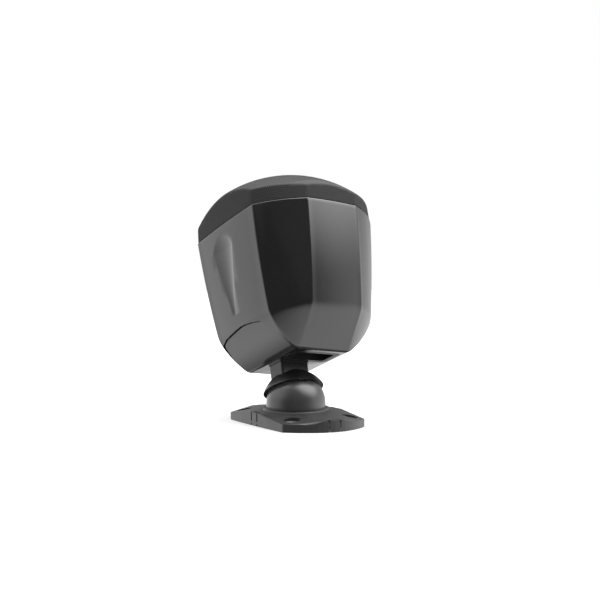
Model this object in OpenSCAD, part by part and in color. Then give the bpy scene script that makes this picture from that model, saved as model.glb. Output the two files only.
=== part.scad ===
// Small wall speaker: a faceted moulded cabinet on a ball mount with a wall plate.
// The origin is the middle of the wall plate's underside and +Z points away from the wall.
// The cabinet pieces are drawn in the speaker frame: its origin is the ball's centre, its z axis
// points out of the grille and its -y side is the side of the terminal cup.

/* [Wall plate] */
// Half width of the plate at its corners
plate_half_w = 31.7; // [29:0.1:36]
// Half length of the plate at its corners
plate_half_l = 40; // [38:0.5:50]
// Outward bow of the two long edges
plate_side_bow = 1; // [0:0.1:3]
// Outward bow of the two short edges
plate_end_bow = 14.9; // [12:0.1:18]
// Height of the plate at its corners
plate_corner_h = 5.3; // [4.5:0.1:7]
// Height at the middle of the long edges
plate_side_h = 8.9; // [7.5:0.1:10]
// Height at the middle of the short edges
plate_end_h = 7.6; // [7:0.1:9]
// Height of the plate where the dome collar begins
plate_mid_h = 9.5; // [9:0.1:11]
// Wall thickness of the plate
plate_wall = 2; // [1.6:0.1:2.6]
// Height of the collar round the dome
collar_h = 1.9; // [1:0.1:2.2]
// Radial width of the collar
collar_w = 2; // [1.2:0.1:2.4]
// Screw hole spacing across the plate
hole_pitch_x = 44.6; // [40:0.2:46]
// Screw hole spacing along the plate
hole_pitch_y = 71.6; // [66:0.2:74]
// Diameter of the plate's screw holes
hole_d = 4.6; // [4:0.1:5.4]
// Diameter of the countersinks
countersink_d = 11; // [9:0.1:12]
// Width of the cable knock-out tabs
tab_w = 8.4; // [6:0.1:12]

/* [Ball mount] */
// Height of the ball's centre over the wall
ball_z = 14; // [13.5:0.1:16]
// Radius of the dome
dome_r = 20.8; // [19.5:0.1:21.5]
// Wall thickness of the dome
dome_wall = 3; // [2:0.1:3.4]
// Radial running clearance between the dome and the plate
dome_fit = 0.08; // [0.02:0.01:0.1]
// Width of the dome's foot flange beyond its wall
dome_flange_w = 2.6; // [2:0.1:3]
// Thickness of the dome's foot flange
dome_flange_t = 1.6; // [1.2:0.1:2]
// Greatest lean of the cap to either side
lean_max = 30; // [28:1:32]
// Gap between the dome and the pieces that slide over and under it
ball_gap = 0.3; // [0.25:0.05:0.4]
// Wall thickness of the cap
cap_wall = 2.5; // [2.4:0.1:3.4]
// Height of the cap's rim over the ball's centre
cap_rim_h = 9.8; // [8.8:0.1:12]
// Turn of the dome on the plate
pan_angle = -6.7; // [-30:0.1:30]
// Lean of the cap away from the wall's normal
lean_angle = 27.3; // [0:0.1:27.5]
// Turn of the speaker about the cap's axis
twist_angle = 13.3; // [-45:0.1:45]
// Crank of the neck between the cap and the cabinet
crank_angle = 7; // [0:0.5:9]
// Diameter of the clamp bolt
bolt_d = 4; // [3.6:0.1:4.4]

/* [Cabinet] */
// Sideways offset of the cabinet from the ball
cab_off_x = 5.5; // [0:0.1:8]
// Gap between the cap's top and the back panel
back_gap = 5.8; // [5.4:0.1:8]
// Distance from the back panel to the break of the lower facets
break_dz = 25; // [22:0.1:28]
// Distance from the back panel to the grille seam
front_dz = 99.6; // [94:0.1:120]
// Half width of the back panel
back_half_x = 21; // [20:0.1:24]
// Half height of the back panel
back_half_y = 32; // [31:0.1:36]
// Half width at the break
break_half_x = 43.5; // [42:0.1:46]
// Half height at the break
break_half_y = 53.3; // [52:0.1:56]
// Half width at the seam
front_half_x = 51.5; // [50:0.1:56]
// Half height at the seam
front_half_y = 61.9; // [60:0.1:66]
// Half length of the top and bottom facets
facet_half_x = 20.7; // [19:0.1:22]
// Half length of the side facets at the break
facet_break_y = 33.7; // [32:0.1:36]
// Half length of the side facets at the seam
facet_front_y = 38.2; // [36:0.1:40]
// Crown of the facets along the cabinet's depth
crown = 1; // [0:0.1:1.6]
// Bow of the corner facets across their width
corner_bow = 2.4; // [1:0.1:3]
// Bow of the side facets across their width
side_bow = 1; // [0:0.1:1.5]
// Wall thickness of the cabinet
cab_wall = 2.6; // [2.2:0.1:3]
// Radius of the cabinet's long edges
edge_r = 1.2; // [0.6:0.1:2]
// Depth of the finger scoops
scoop_depth = 1.8; // [1.4:0.1:2.4]
// Half width of the finger scoops
scoop_half_w = 13.3; // [11:0.1:14]

/* [Grille] */
// Height of the grille's middle over the seam
face_rise = 38; // [34:0.5:40]
// Radius of the grille's domed face
face_r = 88.5; // [84:0.5:100]
// How far the side band leans in over the height of its highest arch
band_inset = 1; // [0.4:0.1:2]
// Thickness of the grille's sheet
grille_t = 1.2; // [1:0.1:1.6]
// Distance between the perforations
hole_step = 8.6; // [8:0.1:12]
// Diameter of a perforation
perf_d = 3.4; // [2:0.1:4]

/* [Drivers] */
// Thickness of the baffle
baffle_t = 3; // [2.4:0.1:4]
// Distance from the seam down to the baffle's face
baffle_drop = 2.8; // [2.6:0.1:4]
// Radius of the woofer's flange
woofer_r = 37.5; // [36:0.1:38]
// Distance of the woofer's axis below the cabinet's middle
woofer_drop = 16.5; // [16:0.1:18]
// Height of the tweeter's axis over the cabinet's middle
tweeter_rise = 38; // [37:0.1:38.5]
// Radius of the tweeter's flange
tweeter_r = 14; // [13:0.1:14.5]
// Travel of the cone to either side
cone_travel = 1.5; // [1:0.1:2]

/* [Terminals] */
// Width of the terminal cup's flange
cup_w = 37; // [35:0.1:38]
// Height of the terminal cup's flange
cup_h = 22.5; // [21:0.1:24]
// Distance from the panel's middle to the cup's middle
cup_drop = 16.4; // [16:0.1:17.5]
// Depth of the cup
cup_depth = 13; // [12:0.5:15]
// Distance between the two levers
lever_pitch = 15; // [14:0.5:16]

/* [Hidden] */
$fn = 48;
skin = 0.01;
deep = 60;
cap_in = dome_r + ball_gap;
cap_out = cap_in + cap_wall;
back_z = cap_out + back_gap;
seam_z = back_z + front_dz;
break_z = back_z + break_dz;
collar_top = plate_mid_h + collar_h;
collar_out = dome_r + dome_fit + collar_w;
cove_r = 1.4;
plate_corner_r = 1.6;
tab_slot = 1.4;
tab_back = 3.4;
tab_bridge_z = 1.5;
tab_bridge_h = 1.6;
foot_z = 2.4;
flange_r = dome_r + dome_flange_w;
flange_gap = 0.15;
ring_r = flange_r + 4.4;
ring_screw_r = flange_r + 2.5;
ring_screw_d = 2.2;
ring_top = foot_z - flange_gap;
ring_t = 1.4;
slot_w = bolt_d + 1;
slot_angle = lean_max + 8;
shoe_out = dome_r - dome_wall - ball_gap;
shoe_t = 3;
shoe_r = 7;
spring_h = 1.6;
spring_r = 4.4;
bolt_fit = 0.05;
bolt_head_h = 3;
bolt_seat = sqrt(pow(shoe_out - shoe_t, 2) - pow(spring_r + 0.1, 2));
neck_w = 23;
neck_h = 16;
neck_x = -1.95;
neck_y = 1;
neck_len = 11;
neck_foot_h = 1.4;
insert_r = 3.2;
insert_h = 5.4;
insert_top = cap_out + insert_h - 1;
screw_d = 2.9;
screw_fit = 0.05;
small_screw_d = 2;
head_d = 5.6;
head_h = 2;
arm_screw_x = 7.4;
arm_screw_len = cab_wall + 6;
side_round = 1.3;
scoop_high = 79;
scoop_low = 35;
scoop_y = 4.6;
scoop_big_r = (pow(scoop_half_w, 2) + pow(scoop_depth, 2)) / (2 * scoop_depth);
scoop_lip = 2.5;
scoop_small_r = 6;
flat_run = norm([break_half_x - back_half_x, break_dz]);
flat_r = 77;
flat_bulge = 1.5;
flat_edge = [
    [-0.12, 1], [0, 0.98], [0.78, 0.98], [0.83, 0.8], [0.86, 0.6], [0.9, 0.31], [0.925, 0.08],
    [0.92, -0.1], [0.88, -0.37], [0.82, -0.65], [0.6, -0.79], [0.36, -0.9], [0, -0.98], [-0.12, -1]
];
band_top = 24;
baffle_top = seam_z - baffle_drop;
baffle_z = baffle_top - baffle_t;
boss_r = 4.6;
corner_run = [facet_half_x - front_half_x, front_half_y - facet_front_y];
corner_in = [-corner_run[1], corner_run[0]] / norm(corner_run);
boss_at = [front_half_x, facet_front_y] + corner_run * 0.52 + corner_in * 6.4;
boss_len = 15;
boss_reach = 9;
reveal = 0.4;
peg_x = front_half_x - 8;
peg_low_y = 4.2 - facet_front_y;
peg_high_y = facet_front_y - 12.2;
peg_r = 1.8;
grommet_r = 3.2;
frame_t = 3;
frame_w = 4;
frame_fit = 0.05;
woofer_y = -woofer_drop;
woofer_cut_r = woofer_r - 4;
flange_t = 2;
surround_t = 0.5;
surround_out = woofer_r - 3.6;
cone_r = 26.4;
cone_low = -9.5;
coil_r = 9.7;
coil_t = 0.6;
dust_r = 18;
rear_z = -20;
ledge_z = -16;
ledge_r = 23;
spider_step = (ledge_r - 0.8 - coil_r - coil_t - 0.3) / 4;
gap_z = rear_z;
magnet_r = 22;
magnet_t = 10;
pole_t = 4;
magnet_y = woofer_y + magnet_r;
tweeter_y = tweeter_rise;
tweeter_cut_r = tweeter_r - 2.8;
dome_tweet_r = 6.4;
cup_y = -cup_drop;
cup_flange_t = 1.3;
cup_floor = 1.6;
post_x = 12;
post_h = 4;
lever_w = 8;
pin_d = 1.6;
pin_y = 5;
pin_z = 6.4;
board_y = 5;
board_z = back_z + cup_depth + post_h;
board_w = 40;
board_h = 30;
wire_d = 1.4;
pad_w = 34;
pad_t = 7;
pad_l = 44;

// Frames of the mount, from the plate up to the speaker

module ball_frame() translate([0, 0, ball_z]) rotate([0, 0, pan_angle]) children();

module cap_frame() ball_frame() rotate([-lean_angle, 0, 0]) children();

module speaker_frame() cap_frame() rotate([0, 0, twist_angle]) rotate([crank_angle, 0, 0]) children();

module cab_frame() speaker_frame() translate([cab_off_x, 0, 0]) children();

// Shared shapes

function mix(a, b, t) = a + (b - a) * t;

// Points from a to just before b, bowed out to the right of the way from a to b
function bowed(a, b, bow, steps = 4) = [
    for (i = [0 : steps - 1])
        let (t = i / steps, d = b - a, n = [d[1], -d[0]] / norm(d))
        a + d * t + n * bow * 4 * t * (1 - t)
];

module slice(z) translate([0, 0, z]) linear_extrude(skin) children();

module pill(w, h, t, r) linear_extrude(t) {
    square([w - 2 * r, h], center = true);
    square([w, h - 2 * r], center = true);
    for (x = [-1, 1], y = [-1, 1]) translate([x * (w / 2 - r), y * (h / 2 - r)]) circle(r = r, $fn = 24);
}

module washer(r1, r2, z1, z2) translate([0, 0, z1]) difference() {
    cylinder(r = r2, h = z2 - z1, $fn = 72);
    translate([0, 0, -1]) cylinder(r = r1, h = z2 - z1 + 2, $fn = 72);
}

module screw(len, d, hd, hh) {
    translate([0, 0, -len]) cylinder(d = d, h = len + 0.1, $fn = 20);
    difference() {
        cylinder(d1 = hd, d2 = hd * 0.8, h = hh, $fn = 24);
        translate([0, 0, hh]) cube([hd * 0.5, 0.7, hh], center = true);
        translate([0, 0, hh]) cube([0.7, hd * 0.5, hh], center = true);
    }
}

// Wall plate: a moulded shell with a collar for the dome, countersunk holes and cable knock-outs

module plate_outline(inset) offset(r = plate_corner_r, $fn = 32) offset(delta = -inset - plate_corner_r)
    polygon(concat(
        bowed([plate_half_w, -plate_half_l], [plate_half_w, plate_half_l], plate_side_bow),
        bowed([plate_half_w, plate_half_l], [-plate_half_w, plate_half_l], plate_end_bow, 16),
        bowed([-plate_half_w, plate_half_l], [-plate_half_w, -plate_half_l], plate_side_bow),
        bowed([-plate_half_w, -plate_half_l], [plate_half_w, -plate_half_l], plate_end_bow, 16)
    ));

module plate_form(inset, drop) hull() {
    linear_extrude(plate_corner_h - drop) plate_outline(inset);
    linear_extrude(plate_side_h - drop) intersection() {
        plate_outline(inset);
        square([4 * deep, tab_w + 6], center = true);
    }
    linear_extrude(plate_end_h - drop) intersection() {
        plate_outline(inset);
        square([tab_w + 6, 4 * deep], center = true);
    }
    cylinder(r = collar_out + 1.5, h = plate_mid_h - drop, $fn = 64);
}

module at_plate_holes() for (x = [-1, 1], y = [-1, 1])
    translate([x * hole_pitch_x / 2, y * hole_pitch_y / 2, 0]) children();

module at_ring_screws() for (a = [45 : 90 : 315]) rotate(a) translate([ring_screw_r, 0, 0]) children();

// Two slots beside the tab, each broken by a bridge, and one slot over its top
module tab_slots(reach) for (y = [-tab_w / 2, tab_w / 2]) {
    translate([reach - tab_back, y - tab_slot / 2, -1]) cube([deep, tab_slot, 1 + tab_bridge_z]);
    translate([reach - tab_back, y - tab_slot / 2, tab_bridge_z + tab_bridge_h]) cube([deep, tab_slot, deep]);
    translate([reach - tab_back, -tab_w / 2, tab_bridge_z + tab_bridge_h]) cube([tab_slot, tab_w, deep]);
}

module wall_plate() color("dimgray") difference() {
    union() {
        difference() {
            plate_form(0, 0);
            translate([0, 0, -skin]) plate_form(plate_wall, plate_wall);
        }
        intersection() {
            plate_form(0.4, 0);
            union() {
                at_plate_holes() cylinder(d = countersink_d + 1.6, h = deep);
                cylinder(r = ring_r + 1.4, h = deep, $fn = 96);
            }
        }
        rotate_extrude($fn = 96) difference() {
            translate([dome_r - 1, 0]) square([collar_out - dome_r + 1 + cove_r, collar_top]);
            translate([collar_out + cove_r, plate_mid_h + cove_r - 0.4]) circle(r = cove_r, $fn = 32);
            translate([collar_out, plate_mid_h + cove_r - 0.4]) square([deep, deep]);
        }
    }
    translate([0, 0, -1]) cylinder(r = dome_r + dome_fit, h = deep, $fn = 96);
    translate([0, 0, -1]) cylinder(r = flange_r + 0.4, h = 1 + foot_z + dome_flange_t + flange_gap, $fn = 96);
    translate([0, 0, -1]) cylinder(r = ring_r + 0.2, h = 1 + ring_top, $fn = 96);
    at_plate_holes() {
        translate([0, 0, -1]) cylinder(d = hole_d, h = deep, $fn = 32);
        translate([0, 0, plate_corner_h - 2]) cylinder(d1 = hole_d, d2 = countersink_d, h = 2.6, $fn = 48);
        translate([0, 0, plate_corner_h + 0.6 - skin]) cylinder(d = countersink_d, h = deep, $fn = 48);
    }
    at_ring_screws() cylinder(d = ring_screw_d + 0.1, h = ring_top + 3.6, $fn = 20);
    for (a = [0, 180]) rotate(a) tab_slots(plate_half_w + plate_side_bow);
    for (a = [90, 270]) rotate(a) tab_slots(plate_half_l + plate_end_bow);
}

module retaining_ring() color("silver") difference() {
    washer(dome_r - dome_wall, ring_r, ring_top - ring_t, ring_top);
    at_ring_screws() translate([0, 0, -1]) cylinder(d = ring_screw_d + 0.3, h = 5, $fn = 20);
}

module ring_screws() color("silver") at_ring_screws() translate([0, 0, ring_top - ring_t])
    mirror([0, 0, 1]) screw(ring_t + 3.2, ring_screw_d, 3.8, 0.7);

// Ball mount: dome, inner shoe, spring, bolt and the arm with its cap

module swivel_dome() color([0.18, 0.18, 0.19]) ball_frame() difference() {
    union() {
        intersection() {
            sphere(r = dome_r, $fn = 96);
            cylinder(r = deep, h = deep);
        }
        translate([0, 0, foot_z - ball_z]) cylinder(r = dome_r, h = ball_z - foot_z, $fn = 96);
        translate([0, 0, foot_z - ball_z]) cylinder(r = flange_r, h = dome_flange_t, $fn = 96);
    }
    sphere(r = dome_r - dome_wall, $fn = 96);
    translate([0, 0, -deep]) cylinder(r = dome_r - dome_wall, h = deep, $fn = 96);
    rotate([180 - slot_angle, 0, 0]) rotate([0, 90, 0]) translate([0, 0, -slot_w / 2])
        rotate_extrude(angle = 2 * slot_angle, $fn = 96) square([dome_r + 5, slot_w]);
}

module clamp_shoe() color("gray") cap_frame() difference() {
    intersection() {
        difference() {
            sphere(r = shoe_out, $fn = 96);
            sphere(r = shoe_out - shoe_t, $fn = 96);
        }
        cylinder(r = shoe_r, h = deep, $fn = 64);
    }
    cylinder(d = bolt_d + 2 * bolt_fit, h = deep, $fn = 32);
}

module clamp_spring() color("silver") cap_frame() translate([0, 0, bolt_seat - spring_h]) difference() {
    cylinder(r1 = spring_r - 0.8, r2 = spring_r, h = spring_h, $fn = 48);
    translate([0, 0, -1]) cylinder(d = bolt_d + 0.4, h = spring_h + 2, $fn = 32);
}

module clamp_bolt() color("silver") cap_frame() difference() {
    union() {
        translate([0, 0, bolt_seat - spring_h - bolt_head_h]) cylinder(d = 7, h = bolt_head_h, $fn = 48);
        translate([0, 0, bolt_seat - spring_h - 1]) cylinder(d = bolt_d, h = insert_top - bolt_seat + spring_h, $fn = 32);
    }
    translate([0, 0, bolt_seat - spring_h - bolt_head_h - 1]) cylinder(d = 3.4, h = bolt_head_h, $fn = 6);
}

module neck_arm() color([0.12, 0.12, 0.13]) difference() {
    union() {
        cap_frame() intersection() {
            sphere(r = cap_out, $fn = 96);
            translate([0, 0, cap_rim_h]) cylinder(r = deep, h = deep);
        }
        speaker_frame() translate([neck_x, neck_y, back_z - neck_len]) pill(neck_w, neck_h, neck_len, 1.6);
        speaker_frame() translate([neck_x, neck_y, back_z - neck_foot_h])
            pill(neck_w + 1.6, neck_h + 1.6, neck_foot_h, 2.4);
    }
    cap_frame() {
        sphere(r = cap_in, $fn = 96);
        cylinder(d = bolt_d + 0.6, h = insert_top + 0.4, $fn = 32);
        translate([0, 0, insert_top - insert_h]) cylinder(r = insert_r + 0.02, h = insert_h + 0.4, $fn = 48);
    }
    speaker_frame() at_arm_screws() translate([0, 0, back_z - arm_screw_len + cab_wall - 0.4])
        cylinder(d = screw_d + 2 * screw_fit, h = deep, $fn = 24);
}

module neck_insert() color("goldenrod") cap_frame() difference() {
    translate([0, 0, insert_top - insert_h]) cylinder(r = insert_r, h = insert_h, $fn = 48);
    cylinder(d = bolt_d + 2 * bolt_fit, h = deep, $fn = 32);
}

module at_arm_screws() for (s = [-1, 1]) translate([neck_x + s * arm_screw_x, neck_y, 0]) children();

module arm_screws() color("silver") speaker_frame() at_arm_screws()
    translate([0, 0, back_z + cab_wall]) screw(arm_screw_len, screw_d, head_d, head_h);

// Cabinet: faceted shell, open at the grille

function rise(dz) = (dz - break_dz) / (front_dz - break_dz);
function swell(dz) = crown * 4 * rise(dz) * (1 - rise(dz));
function fade(dz) = min(1, dz / break_dz);
// Half sizes of the outline at a height over the back panel; round is 1 for straight lower facets
function side_x(dz, round) = dz >= break_dz
    ? mix(break_half_x, front_half_x, rise(dz)) + swell(dz)
    : mix(back_half_x, break_half_x, pow(1 - pow(1 - fade(dz), round), 1 / round));
function side_y(dz) = dz >= break_dz
    ? mix(break_half_y, front_half_y, rise(dz)) + swell(dz)
    : mix(back_half_y, break_half_y, fade(dz));
function facet_y(dz) = dz >= break_dz
    ? mix(facet_break_y, facet_front_y, rise(dz))
    : mix(back_half_y, facet_break_y, fade(dz));

function octagon(hx, hy, fx, fy, bow) = concat(
    bowed([hx, -fy], [hx, fy], side_bow * bow),
    bowed([hx, fy], [fx, hy], corner_bow * bow),
    bowed([fx, hy], [-fx, hy], side_bow * bow),
    bowed([-fx, hy], [-hx, fy], corner_bow * bow),
    bowed([-hx, fy], [-hx, -fy], side_bow * bow),
    bowed([-hx, -fy], [-fx, -hy], corner_bow * bow),
    bowed([-fx, -hy], [fx, -hy], side_bow * bow),
    bowed([fx, -hy], [hx, -fy], corner_bow * bow)
);

module cab_outline(dz, inset, round = side_round) offset(r = edge_r, $fn = 16) offset(delta = -inset - edge_r)
    polygon(octagon(side_x(dz, round), side_y(dz), facet_half_x, facet_y(dz), fade(dz)));

module cab_solid() hull() {
    for (dz = [0, 2.5, 7, 15, break_dz, mix(break_dz, front_dz, 0.5)]) slice(back_z + dz) cab_outline(dz, 0);
    slice(seam_z - skin) cab_outline(front_dz, 0);
}

module cab_hollow() difference() {
    hull() {
        for (dz = [cab_wall, break_dz, mix(break_dz, front_dz, 0.5)]) slice(back_z + dz) cab_outline(dz, cab_wall, 1);
        translate([0, 0, seam_z]) linear_extrude(1) cab_outline(front_dz, cab_wall, 1);
    }
    for (m = [0, 1]) mirror([m, 0, 0]) side_scoop(cab_wall);
}

module scoop_ball(grow) translate([-side_x(scoop_high, 1) - scoop_big_r + scoop_depth, scoop_y, back_z + scoop_high])
    sphere(r = scoop_big_r + grow, $fn = 180);

// Thumb scoop in a side facet: wide and round towards the grille, thin towards the wall
module side_scoop(grow) hull() {
    intersection() {
        scoop_ball(grow);
        translate([-side_x(scoop_high, 1) + scoop_depth, scoop_y, back_z + scoop_high])
            cube([2 * (scoop_depth + scoop_lip), deep, deep], center = true);
    }
    translate([-side_x(scoop_low, 1) - scoop_small_r + 0.5, scoop_y, back_z + scoop_low])
        sphere(r = scoop_small_r + grow, $fn = 24);
}

// Shallow recess in the rounded lower side, with leaning walls and a floor that is part of a cylinder
module rear_flat() translate([-back_half_x, 0, back_z])
    rotate([0, -atan2(break_half_x - back_half_x, break_dz) - 90, 0]) translate([flat_run / 2, 0, 0]) difference() {
        translate([0, 0, -1.2]) linear_extrude(12, scale = [1.9, 1.05], slices = 1) translate([-flat_run / 2, 0])
            offset(r = 2, $fn = 16) offset(delta = -2)
            polygon([for (p = flat_edge) [p[0] * flat_run, p[1] * back_half_y]]);
        rotate([0, 1.6, 0]) translate([0, 0, flat_bulge - flat_r]) rotate([90, 0, 0])
            cylinder(r = flat_r, h = 3 * deep, center = true, $fn = 180);
    }

module at_bosses() for (x = [0, 1], y = [0, 1]) mirror([x, 0, 0]) mirror([0, y, 0])
    translate(boss_at) children();

module cabinet() color([0.24, 0.24, 0.25]) cab_frame() difference() {
    union() {
        difference() {
            cab_solid();
            cab_hollow();
        }
        intersection() {
            cab_solid();
            at_bosses() translate([0, 0, baffle_z - boss_len]) linear_extrude(boss_len) {
                circle(r = boss_r, $fn = 48);
                rotate(atan2(-corner_in[1], -corner_in[0])) translate([0, -boss_r]) square([boss_reach, 2 * boss_r]);
            }
        }
    }
    at_bosses() translate([0, 0, baffle_z - 12]) cylinder(d = screw_d + 2 * screw_fit, h = deep, $fn = 24);
    for (m = [0, 1]) mirror([m, 0, 0]) {
        side_scoop(0);
        rear_flat();
    }
    translate([0, cup_y, back_z - 1]) pill(cup_w + 0.2, cup_h + 0.2, 1 + cup_flange_t + 0.05, 5);
    translate([0, cup_y, back_z - 1]) pill(cup_w - 3.6, cup_h - 3.6, 10, 3.4);
    translate([-cab_off_x, 0, back_z - 1]) at_arm_screws() cylinder(d = screw_d + 0.5, h = 10, $fn = 24);
}

// Terminals: a cup with two sprung levers, seen through the back panel

module terminal_cup() color([0.08, 0.08, 0.09]) cab_frame() translate([0, cup_y, back_z]) difference() {
    union() {
        pill(cup_w, cup_h, cup_flange_t, 5);
        pill(cup_w - 4, cup_h - 4, cup_depth, 3.2);
        for (s = [-1, 1]) translate([s * post_x, 0, cup_depth - 0.1]) cylinder(r = 2.4, h = post_h + 0.1, $fn = 24);
    }
    translate([0, 0, -1]) pill(cup_w - 7, cup_h - 7, 1 + cup_depth - cup_floor, 2.4);
    for (s = [-1, 1]) translate([s * lever_pitch / 2, -cup_h / 2 + 5.6, 0]) cylinder(d = 2.6, h = deep, $fn = 24);
    translate([-(cup_w - 5.2) / 2, pin_y, pin_z]) rotate([0, 90, 0]) cylinder(d = pin_d + 0.04, h = cup_w - 5.2, $fn = 24);
}

module lever(side) cab_frame() translate([side * lever_pitch / 2, cup_y, back_z]) difference() {
    union() {
        translate([0, pin_y, pin_z]) rotate([0, 90, 0]) translate([0, 0, -lever_w / 2])
            cylinder(r = 2, h = lever_w, $fn = 32);
        translate([-lever_w / 2, pin_y - 9.2, pin_z - 1.8]) cube([lever_w, 9.2, 2.2]);
        translate([-lever_w / 2, pin_y - 9.2, pin_z - 2.6]) cube([lever_w, 2.2, 2.2]);
    }
    translate([-deep / 2, pin_y, pin_z]) rotate([0, 90, 0]) cylinder(d = pin_d + 0.1, h = deep, $fn = 24);
}

module lever_red() color("firebrick") lever(1);

module lever_black() color([0.1, 0.1, 0.1]) lever(-1);

module lever_pin() color("silver") cab_frame()
    translate([-(cup_w - 5.6) / 2, cup_y + pin_y, back_z + pin_z])
    rotate([0, 90, 0]) cylinder(d = pin_d, h = cup_w - 5.6, $fn = 24);

module terminal_springs() color("silver") cab_frame() for (s = [-1, 1])
    translate([s * lever_pitch / 2 - 1.5, cup_y + pin_y - 8, back_z + cup_depth - cup_floor - 0.6]) {
        cube([3, 7.4, 0.5]);
        translate([0, 6.9, -2]) cube([3, 0.5, 2.4]);
    }

// Front: baffle, grille and their fixings

module baffle() color([0.16, 0.16, 0.16]) cab_frame() difference() {
    translate([0, 0, baffle_z]) linear_extrude(baffle_t) cab_outline(baffle_z - back_z, cab_wall + 0.3, 1);
    translate([0, woofer_y, 0]) cylinder(r = woofer_cut_r, h = 3 * deep, $fn = 72);
    translate([0, tweeter_y, 0]) cylinder(r = tweeter_cut_r, h = 3 * deep, $fn = 48);
    for (m = [0, 1]) mirror([m, 0, 0]) scoop_ball(cab_wall + 0.3);
    at_bosses() cylinder(d = screw_d + 0.5, h = 3 * deep, $fn = 24);
    at_pegs() cylinder(r = grommet_r + 0.05, h = 3 * deep, $fn = 32);
    at_woofer_screws() translate([0, 0, baffle_z - 1]) cylinder(d = small_screw_d + 0.1, h = deep, $fn = 20);
    at_tweeter_screws() translate([0, 0, baffle_z - 1]) cylinder(d = small_screw_d + 0.1, h = deep, $fn = 20);
}

module baffle_screws() color("silver") cab_frame() at_bosses()
    translate([0, 0, baffle_top]) screw(baffle_t + 8, screw_d, head_d, head_h);

module at_pegs() for (x = [-1, 1], y = [peg_low_y, peg_high_y]) translate([x * peg_x, y, 0]) children();

module band_outline(inset) offset(delta = -inset)
    polygon(octagon(front_half_x, front_half_y, facet_half_x, facet_front_y, 1));

// Octagonal band, a little tapered, cut off by the domed face
module grille_form(t) intersection() {
    hull() {
        translate([0, 0, seam_z]) linear_extrude(frame_t) band_outline(reveal + t);
        translate([0, 0, seam_z + band_top]) linear_extrude(face_rise - band_top + 2)
            band_outline(reveal + t + band_inset);
    }
    translate([0, 0, seam_z + face_rise - face_r]) sphere(r = face_r - t, $fn = 144);
}

module grille() color([0.3, 0.3, 0.31]) cab_frame() difference() {
    grille_form(0);
    translate([0, 0, -2 * skin]) grille_form(grille_t);
    translate([0, 0, seam_z]) for (j = [-9 : 9], i = [-8 : 8]) {
        x = (i + (j % 2 == 0 ? 0 : 0.5)) * hole_step;
        y = j * hole_step * sin(60);
        if (in_face(x, y)) translate([x, y, 0]) cylinder(d = perf_d, h = deep, $fn = 16);
    }
}

// True where a perforation lies wholly in the domed face
function in_face(x, y) =
    let (m = band_inset + reveal + perf_d / 2 + 1.6,
        along = [front_half_x - facet_half_x, front_half_y - facet_front_y],
        out = [along[1], along[0]] / norm(along))
    abs(x) < front_half_x - m && abs(y) < front_half_y - m
        && abs(x) * out[0] + abs(y) * out[1] < front_half_x * out[0] + facet_front_y * out[1] - m;

module grille_frame() color([0.12, 0.12, 0.12]) cab_frame() {
    translate([0, 0, seam_z]) linear_extrude(frame_t) difference() {
        cab_outline(front_dz, reveal + grille_t + frame_fit, 1);
        difference() {
            cab_outline(front_dz, reveal + grille_t + frame_w, 1);
            at_pegs() circle(r = peg_r + 2.5, $fn = 32);
        }
    }
    at_pegs() translate([0, 0, baffle_z + 0.4]) cylinder(r = peg_r, h = seam_z - baffle_z, $fn = 32);
}

module grille_grommets() color([0.15, 0.15, 0.15]) cab_frame() at_pegs() {
    washer(peg_r + 0.05, grommet_r, baffle_z + 0.1, baffle_top + 0.05);
    washer(peg_r + 0.05, grommet_r + 1, baffle_top, baffle_top + 0.9);
}

// Woofer: its pieces lie on one axis, measured from the baffle's face

module woofer_frame() cab_frame() translate([0, woofer_y, baffle_top]) children();

module at_woofer_screws() translate([0, woofer_y, 0]) for (a = [45 : 90 : 315]) rotate(a)
    translate([woofer_r - 2.1, 0, 0]) children();

module woofer_basket() color("dimgray") woofer_frame() difference() {
    rotate_extrude($fn = 72) polygon([
        [coil_r + 1.6, rear_z], [coil_r + 1.6, rear_z + 1.2], [ledge_r - 2.4, rear_z + 1.2], [ledge_r - 2.4, ledge_z],
        [ledge_r, ledge_z], [woofer_cut_r - 2.2, -1.5], [woofer_cut_r - 2.2, flange_t], [woofer_r, flange_t],
        [woofer_r, 0], [woofer_cut_r - 0.7, 0], [woofer_cut_r - 0.7, -2.4], [ledge_r + 1.3, ledge_z - 0.6],
        [ledge_r + 0.4, rear_z]
    ]);
    for (a = [0 : 60 : 300]) rotate(a) translate([ledge_r + 4.6, 0, -9.2])
        rotate([0, -22, 0]) cube([12, 15, 10.4], center = true);
    for (a = [45 : 90 : 315]) rotate(a) translate([woofer_r - 2.1, 0, -1])
        cylinder(d = small_screw_d + 0.3, h = 5, $fn = 20);
}

module woofer_gasket() color([0.1, 0.1, 0.1]) woofer_frame()
    washer(surround_out - 1.6, woofer_r - 4.2, flange_t + surround_t, flange_t + surround_t + 1.2);

module woofer_screws() color("silver") cab_frame() at_woofer_screws()
    translate([0, 0, baffle_top + flange_t]) screw(flange_t + baffle_t - 0.5, small_screw_d, 3.8, 1.2);

module woofer_surround() color([0.1, 0.1, 0.1]) woofer_frame() {
    mid = (cone_r + surround_out - 2) / 2;
    roll = (surround_out - 2 - cone_r) / 2;
    rotate_extrude($fn = 72) {
        translate([mid, flange_t]) intersection() {
            difference() {
                circle(r = roll + surround_t / 2, $fn = 32);
                circle(r = roll - surround_t / 2, $fn = 32);
            }
            translate([-deep, 0]) square([2 * deep, deep]);
        }
        translate([mid + roll - surround_t / 2, flange_t]) square([1.7, surround_t]);
        translate([cone_r - 1.4, flange_t]) square([1.6, surround_t]);
    }
}

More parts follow.
